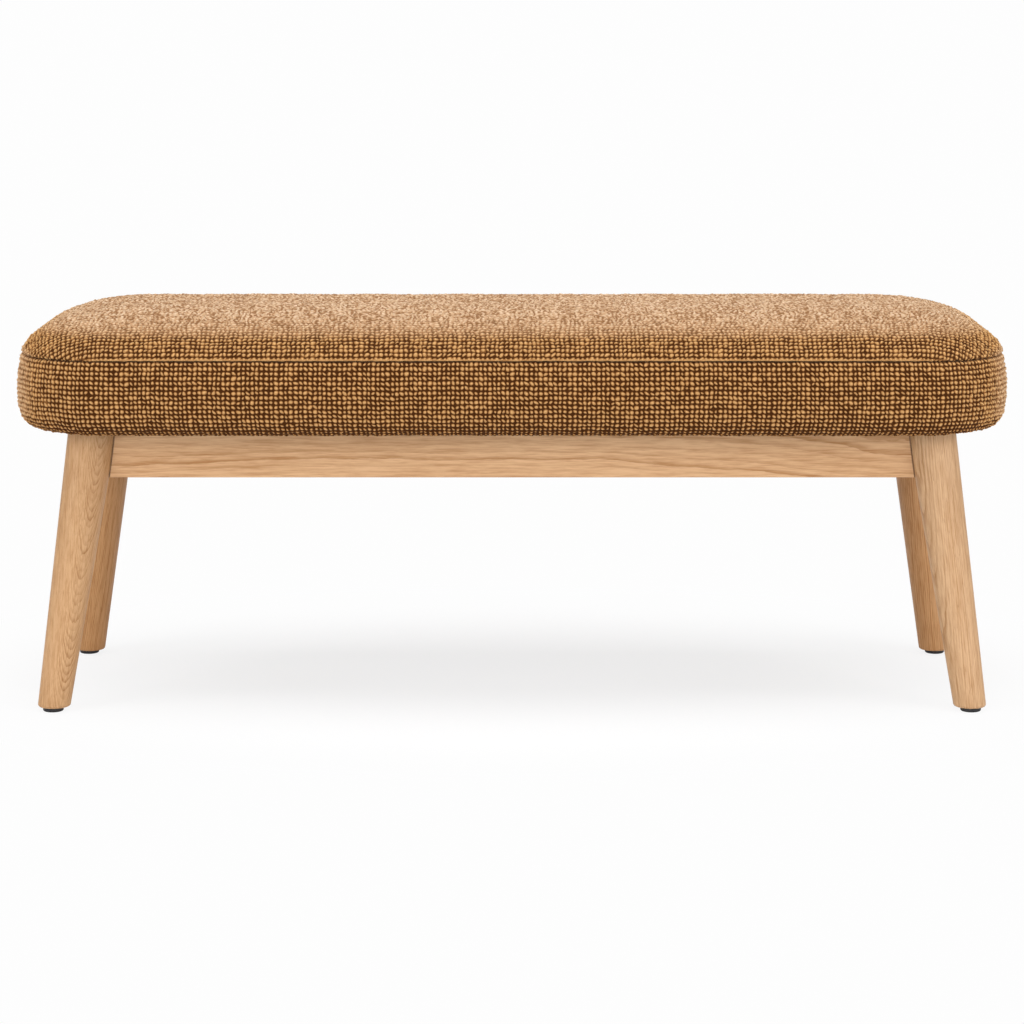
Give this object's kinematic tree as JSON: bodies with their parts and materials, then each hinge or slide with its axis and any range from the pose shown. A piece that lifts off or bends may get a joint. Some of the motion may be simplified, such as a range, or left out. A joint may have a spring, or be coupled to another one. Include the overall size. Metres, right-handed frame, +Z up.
{
  "type": "upholstered bench",
  "caption": "Long upholstered bench: a thick, round-cornered boxed cushion in chunky woven fabric on an oak frame with splayed, round, tapered legs.",
  "frame": {"origin": "on the floor, under the middle of the seat", "axes": "+X along the seat to the right as seen from the front, +Y to the back, +Z up"},
  "size_m": [1.2002, 0.4002, 0.48],
  "materials": {
    "oak": "satin",
    "hardwood": "matte",
    "plywood": "matte",
    "foam": "matte",
    "wadding": "matte",
    "woven_fabric": "matte",
    "dust_cloth": "matte",
    "plated_steel": "satin",
    "black_plastic": "satin"
  },
  "bodies": {
    "root": {"leg_front_left": "oak", "leg_front_right": "oak", "leg_back_left": "oak", "leg_back_right": "oak", "front_rail": "oak", "back_rail": "oak", "left_end_rail": "oak", "right_end_rail": "oak", "cross_brace_left": "hardwood", "cross_brace_right": "hardwood", "corner_block_front_left": "hardwood", "corner_block_front_right": "hardwood", "corner_block_back_left": "hardwood", "corner_block_back_right": "hardwood", "seat_board": "plywood", "seat_foam": "foam", "seat_wadding": "wadding", "cover_top_panel": "woven_fabric", "cover_boxing": "woven_fabric", "dust_cover": "dust_cloth", "seat_bolts": "plated_steel", "seat_bolt_washers": "plated_steel", "tee_nuts": "plated_steel", "corner_block_screws": "plated_steel", "brace_screws": "plated_steel", "glide_screws": "plated_steel", "glide_front_left": "black_plastic", "glide_front_right": "black_plastic", "glide_back_left": "black_plastic", "glide_back_right": "black_plastic"}
  },
  "joints": []
}
